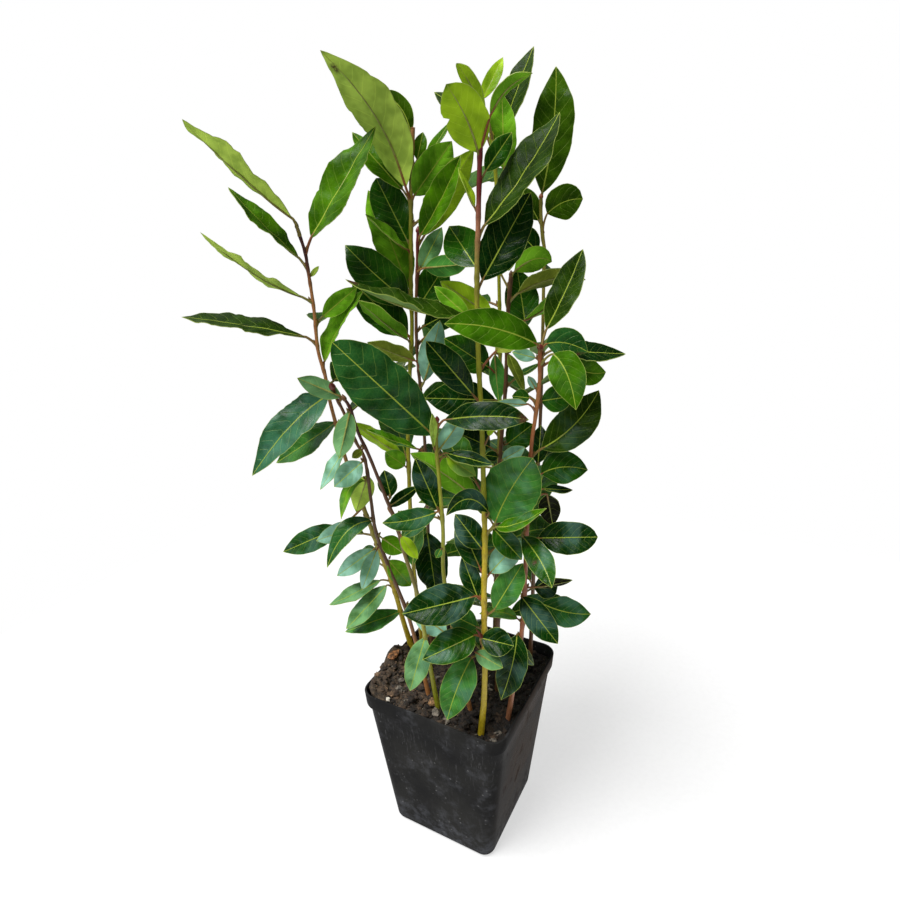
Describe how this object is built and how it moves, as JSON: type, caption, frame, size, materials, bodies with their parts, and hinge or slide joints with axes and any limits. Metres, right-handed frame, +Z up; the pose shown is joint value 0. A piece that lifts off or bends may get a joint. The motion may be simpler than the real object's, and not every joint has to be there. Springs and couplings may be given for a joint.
{
  "type": "bay laurel in a pot",
  "caption": "Young bay laurel with upright leafy stems growing from dark soil in a square black plastic nursery pot.",
  "frame": {"origin": "centre of the underside of the pot, which stands on the surface", "axes": "+Z up along the pot's axis, X and Y square to the pot's sides; the picture looks from in front (-Y) and a little from the right"},
  "size_m": [0.1756, 0.1496, 0.3847],
  "materials": {
    "pot_plastic": "black, slightly shiny, dusty",
    "soil": "crumbly dark peat and bark",
    "laurel": "glossy dark green leaves on thin stems"
  },
  "bodies": {
    "root": {"pot": "pot_plastic", "soil": "soil", "stem_a": "laurel", "stem_m": "laurel", "stem_n": "laurel", "stem_b": "laurel", "stem_k": "laurel", "stem_l": "laurel", "stem_c": "laurel", "stem_j": "laurel", "stem_d": "laurel", "stem_r": "laurel", "stem_t": "laurel"}
  },
  "joints": []
}
